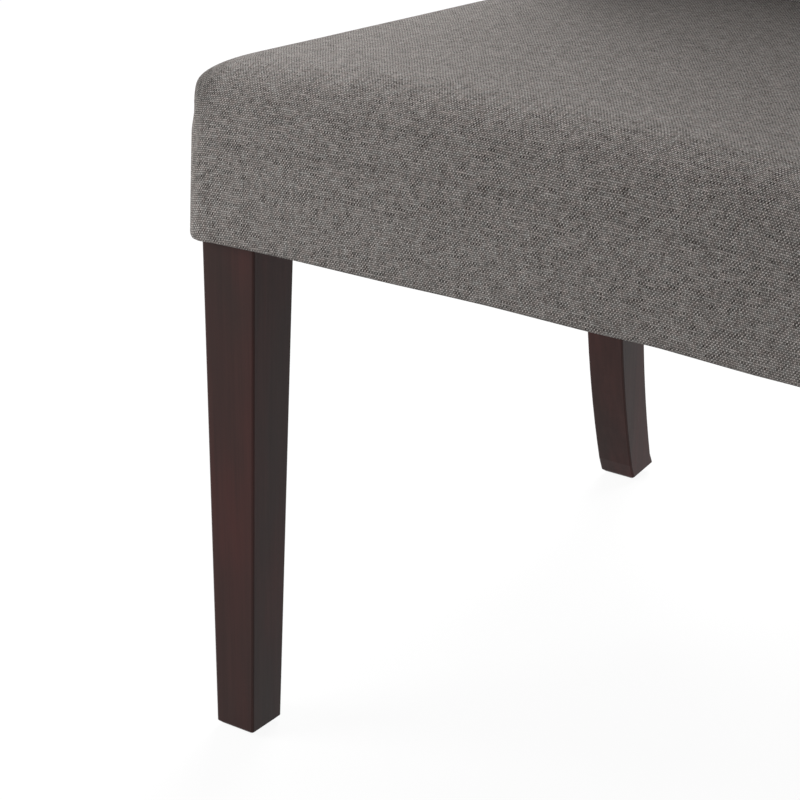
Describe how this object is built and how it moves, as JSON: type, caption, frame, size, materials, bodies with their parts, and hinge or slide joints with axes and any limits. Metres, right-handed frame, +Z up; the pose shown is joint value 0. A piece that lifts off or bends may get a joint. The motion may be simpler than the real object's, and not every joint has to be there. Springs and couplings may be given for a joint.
{
  "type": "parsons chair",
  "caption": "Armless dining chair, upholstered all over above the legs, with tapered front legs, swept rear legs and a raked padded back.",
  "frame": {"origin": "on the floor under the middle of the chair's outer box", "axes": "+Z up, -Y is the way the sitter faces, +X is the sitter's left, seen from the front on the right"},
  "size_m": [0.504, 0.61, 0.99],
  "materials": {
    "espresso_wood": "satin",
    "frame_wood": "matte",
    "upholstery_fabric": "matte",
    "dust_cloth": "matte",
    "webbing": "matte",
    "wadding": "matte",
    "padding_foam": "matte",
    "zinc_steel": "satin",
    "card": "matte",
    "glide_plastic": "matte"
  },
  "bodies": {
    "root": {"back_foam": "padding_foam", "back_rail": "frame_wood", "back_wadding": "wadding", "back_web_crosswise_1": "webbing", "back_web_crosswise_2": "webbing", "back_web_upright_1": "webbing", "back_web_upright_2": "webbing", "back_web_upright_3": "webbing", "block_screw_front_left_1": "zinc_steel", "block_screw_front_left_2": "zinc_steel", "block_screw_front_right_1": "zinc_steel", "block_screw_front_right_2": "zinc_steel", "block_screw_rear_left_1": "zinc_steel", "block_screw_rear_left_2": "zinc_steel", "block_screw_rear_right_1": "zinc_steel", "block_screw_rear_right_2": "zinc_steel", "corner_block_front_left": "frame_wood", "corner_block_front_right": "frame_wood", "corner_block_rear_left": "frame_wood", "corner_block_rear_right": "frame_wood", "crest_rail": "frame_wood", "dust_cloth": "dust_cloth", "front_leg_left": "espresso_wood", "front_leg_right": "espresso_wood", "front_rail": "frame_wood", "glide_front_left": "glide_plastic", "glide_front_right": "glide_plastic", "glide_rear_left": "glide_plastic", "glide_rear_right": "glide_plastic", "inside_back_cover": "upholstery_fabric", "leg_bolt_front_left": "zinc_steel", "leg_bolt_front_right": "zinc_steel", "leg_bolt_rear_left": "zinc_steel", "leg_bolt_rear_right": "zinc_steel", "lower_back_rail": "frame_wood", "outside_back_cover": "upholstery_fabric", "rear_post_left": "espresso_wood", "rear_post_right": "espresso_wood", "seat_cover": "upholstery_fabric", "seat_foam": "padding_foam", "seat_wadding": "wadding", "seat_web_crosswise_1": "webbing", "seat_web_crosswise_2": "webbing", "seat_web_crosswise_3": "webbing", "seat_web_lengthwise_1": "webbing", "seat_web_lengthwise_2": "webbing", "seat_web_lengthwise_3": "webbing", "side_rail_left": "frame_wood", "side_rail_right": "frame_wood", "side_tack_strip_left": "zinc_steel", "side_tack_strip_right": "zinc_steel", "top_tack_strip": "card"}
  },
  "joints": []
}
